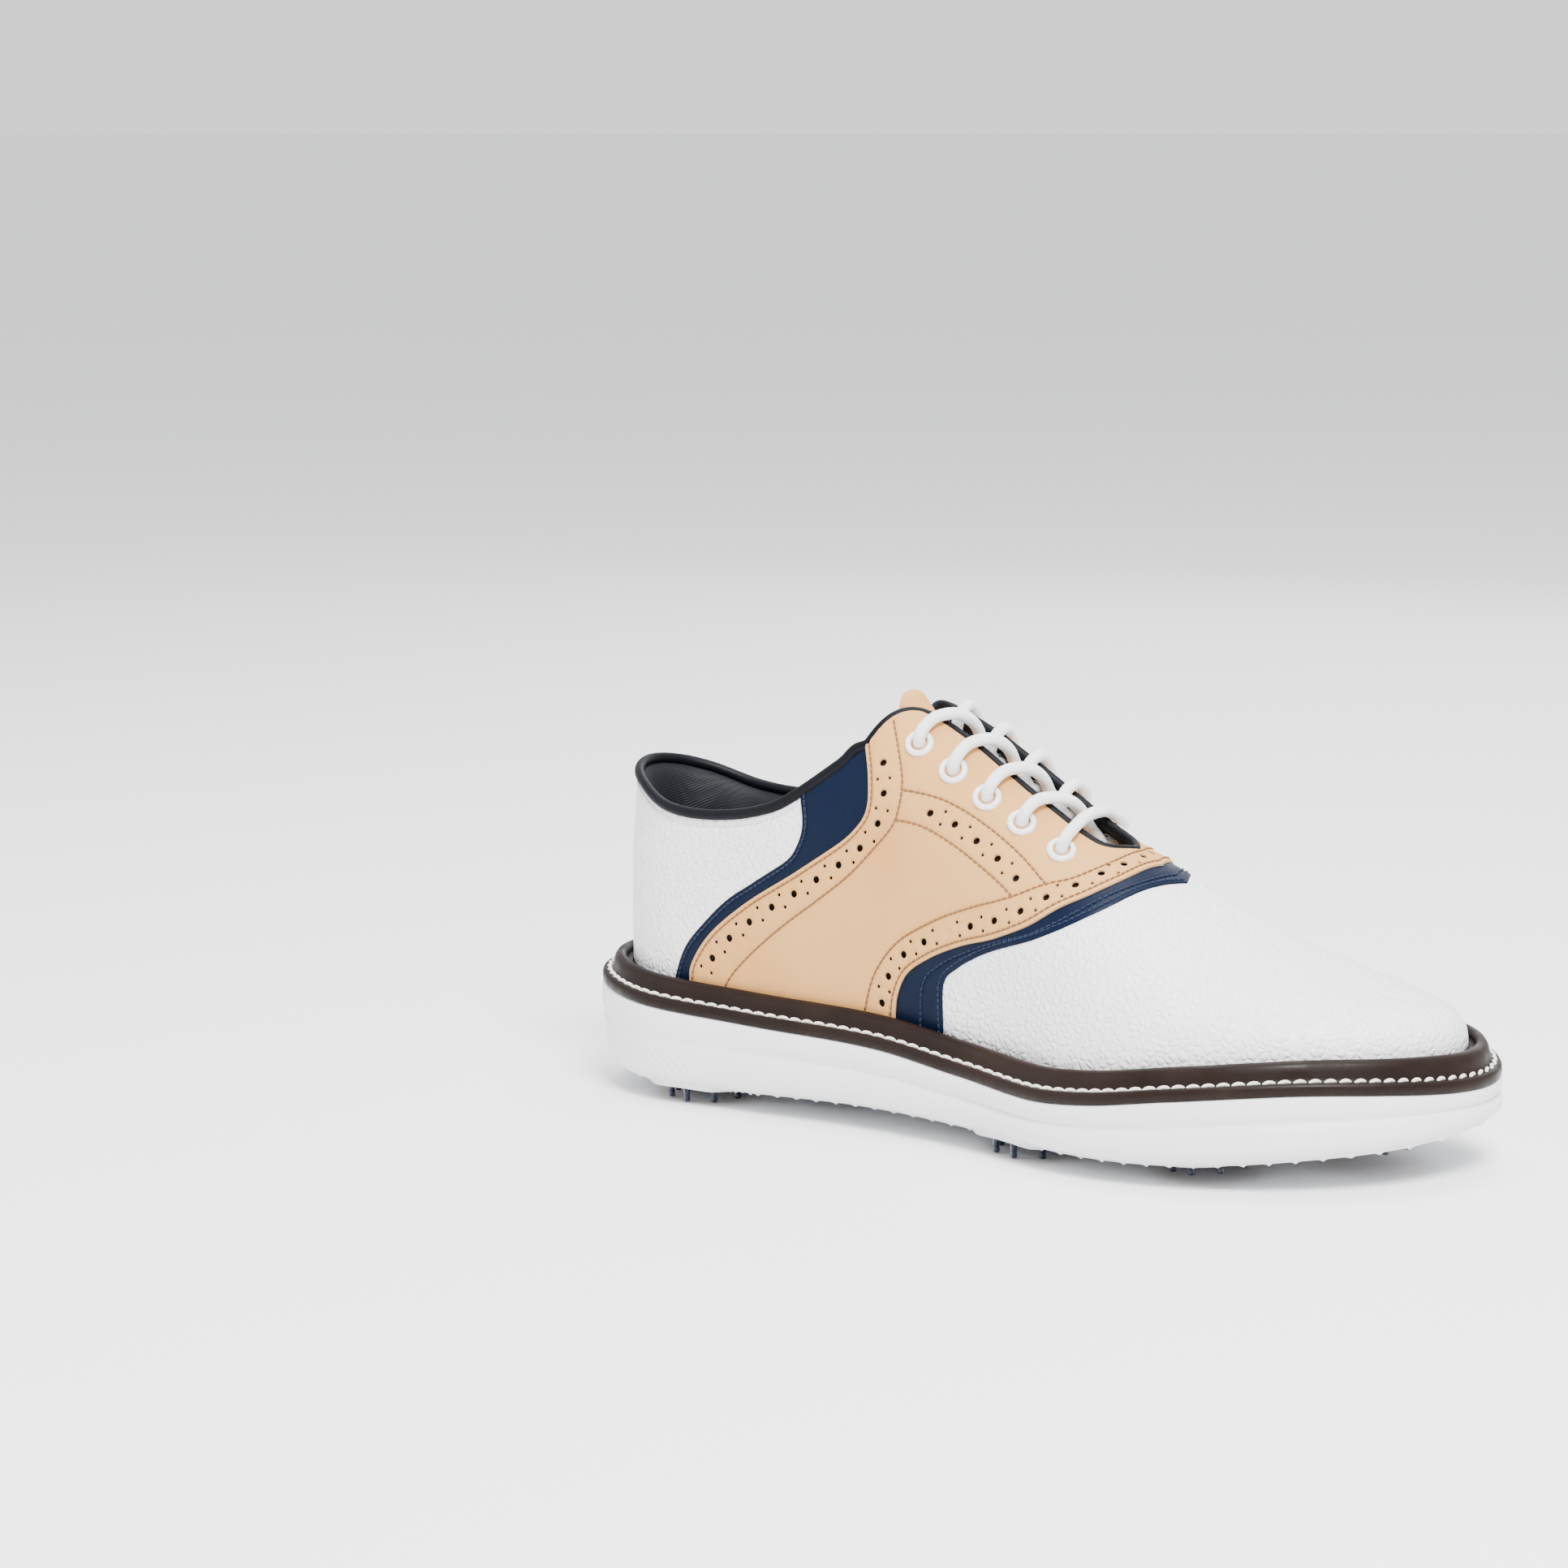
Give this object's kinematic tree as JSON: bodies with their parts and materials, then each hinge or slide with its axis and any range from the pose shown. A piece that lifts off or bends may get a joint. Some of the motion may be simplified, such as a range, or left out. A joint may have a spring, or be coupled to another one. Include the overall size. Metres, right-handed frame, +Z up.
{
  "type": "golf shoe",
  "caption": "Low welted golf shoe for the right foot with a saddle panel, padded tongue, round lace and twist-lock soft cleats under a ribbed rubber sole.",
  "frame": {"origin": "on the ground under the middle of the shoe's bounding box", "axes": "+X towards the toe, +Y towards the inner (medial) side, +Z up"},
  "size_m": [0.3038, 0.111, 0.1324],
  "materials": {
    "leather_tan": "smooth, matte",
    "leather_navy": "smooth, semi gloss",
    "leather_white": "pebbled, satin",
    "piping_dark": "smooth, rolled",
    "lining_cloth": "knitted lining",
    "interlining": "woven backing",
    "backing_dark": "dyed canvas",
    "foam": "open-cell foam",
    "stiffener": "moulded stiffener",
    "welt_brown": "waxed",
    "thread_white": "twisted thread",
    "midsole_white": "fine satin foam skin",
    "outsole_white": "ribbed rubber",
    "pod_amber": "translucent, glossy",
    "insert_grey": "moulded",
    "cleat_navy": "translucent, glossy",
    "plaque_navy": "glossy",
    "steel": "rolled strip",
    "cork": "granulated cork",
    "board": "cellulose board",
    "footbed_cloth": "cloth-covered foam",
    "eyelet_white": "enamel",
    "lace_white": "round braid",
    "aglet_clear": "clear sheath"
  },
  "bodies": {
    "shoe": {"saddle_lateral": "leather_tan", "saddle_medial": "leather_tan", "front_accent": "leather_navy", "rear_accent_lateral": "leather_navy", "rear_accent_medial": "leather_navy", "vamp": "leather_white", "heel_quarter": "leather_white", "collar_piping": "piping_dark", "saddle_backing_lateral": "backing_dark", "saddle_backing_medial": "backing_dark", "vamp_interlining": "interlining", "quarter_lining_lateral": "lining_cloth", "quarter_lining_medial": "lining_cloth", "vamp_lining": "lining_cloth", "heel_lining": "lining_cloth", "collar_lining": "lining_cloth", "collar_foam": "foam", "heel_counter": "stiffener", "toe_puff": "stiffener", "footbed": "footbed_cloth", "insole_board": "board", "bottom_filler": "cork", "shank": "steel", "welt": "welt_brown", "welt_thread": "thread_white", "midsole": "midsole_white", "outsole": "outsole_white", "cleat_pod_toe": "pod_amber", "cleat_pod_ball": "pod_amber", "cleat_pod_heel": "pod_amber", "cleat_receptacles": "insert_grey", "sole_plaque": "plaque_navy", "eyelets_lateral": "eyelet_white", "eyelets_medial": "eyelet_white", "lace": "lace_white", "lace_aglets": "aglet_clear"},
    "tongue_flap": {"tongue": "leather_tan", "tongue_foam": "foam", "tongue_lining": "lining_cloth"},
    "cleat_toe_front": {"cleat_toe_front": "cleat_navy"},
    "cleat_toe_inner": {"cleat_toe_inner": "cleat_navy"},
    "cleat_toe_outer": {"cleat_toe_outer": "cleat_navy"},
    "cleat_ball_inner": {"cleat_ball_inner": "cleat_navy"},
    "cleat_ball_outer": {"cleat_ball_outer": "cleat_navy"},
    "cleat_heel_inner": {"cleat_heel_inner": "cleat_navy"},
    "cleat_heel_outer": {"cleat_heel_outer": "cleat_navy"}
  },
  "joints": [
    {"name": "tongue_fold", "type": "hinge", "parent": "shoe", "child": "tongue_flap", "pos_m": [0.036, 0.004, 0.079], "axis": [0, -1, 0], "range_deg": [0, 12]},
    {"name": "cleat_toe_front_twist", "type": "hinge", "parent": "shoe", "child": "cleat_toe_front", "pos_m": [0.116, 0.008, 0.01095], "axis": [-0.0901, 0, 0.9959], "range_deg": [0, 60]},
    {"name": "cleat_toe_inner_twist", "type": "hinge", "parent": "shoe", "child": "cleat_toe_inner", "pos_m": [0.074, 0.031, 0.00715], "axis": [-0.0901, 0, 0.9959], "range_deg": [0, 60]},
    {"name": "cleat_toe_outer_twist", "type": "hinge", "parent": "shoe", "child": "cleat_toe_outer", "pos_m": [0.079, -0.025, 0.0076], "axis": [-0.0901, 0, 0.9959], "range_deg": [0, 60]},
    {"name": "cleat_ball_inner_twist", "type": "hinge", "parent": "shoe", "child": "cleat_ball_inner", "pos_m": [0.014, 0.02, 0.006], "axis": [0, 0, 1], "range_deg": [0, 60]},
    {"name": "cleat_ball_outer_twist", "type": "hinge", "parent": "shoe", "child": "cleat_ball_outer", "pos_m": [0.021, -0.0285, 0.006], "axis": [0, 0, 1], "range_deg": [0, 60]},
    {"name": "cleat_heel_inner_twist", "type": "hinge", "parent": "shoe", "child": "cleat_heel_inner", "pos_m": [-0.11, 0.0185, 0.006], "axis": [0, 0, 1], "range_deg": [0, 60]},
    {"name": "cleat_heel_outer_twist", "type": "hinge", "parent": "shoe", "child": "cleat_heel_outer", "pos_m": [-0.105, -0.019, 0.006], "axis": [0, 0, 1], "range_deg": [0, 60]}
  ]
}
